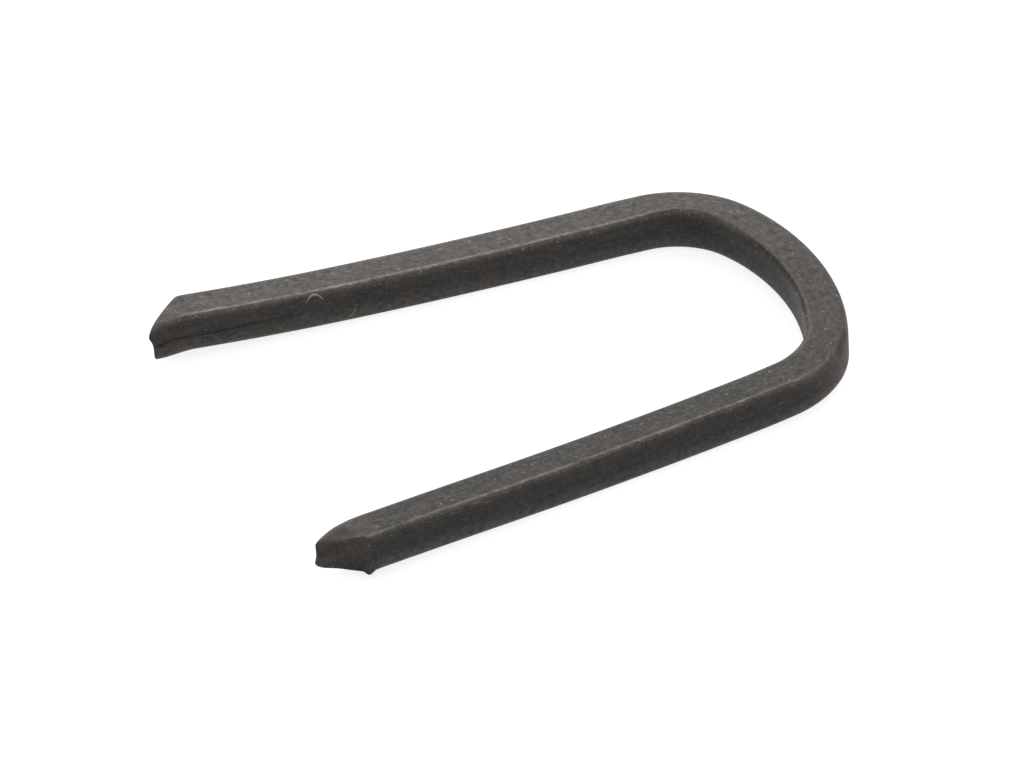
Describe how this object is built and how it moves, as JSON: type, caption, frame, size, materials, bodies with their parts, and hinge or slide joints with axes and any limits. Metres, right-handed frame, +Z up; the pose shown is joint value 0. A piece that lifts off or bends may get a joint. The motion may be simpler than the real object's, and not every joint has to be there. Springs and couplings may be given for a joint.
{
  "type": "retaining clip",
  "caption": "U-shaped retaining clip bent from black square spring wire, with splayed, slightly bowed legs and slanted sheared tips.",
  "frame": {"origin": "on the surface that the clip lies on, below the middle of its overall length and width", "axes": "+Z up, +X out of the crown and away from the open end, +Y across the two legs"},
  "size_m": [0.03, 0.021, 0.0025],
  "materials": {
    "black_steel": "black oxide on drawn spring steel, dull, with drawing lines, light dust and brighter worn edges"
  },
  "bodies": {
    "root": {"clip": "black_steel"}
  },
  "joints": []
}
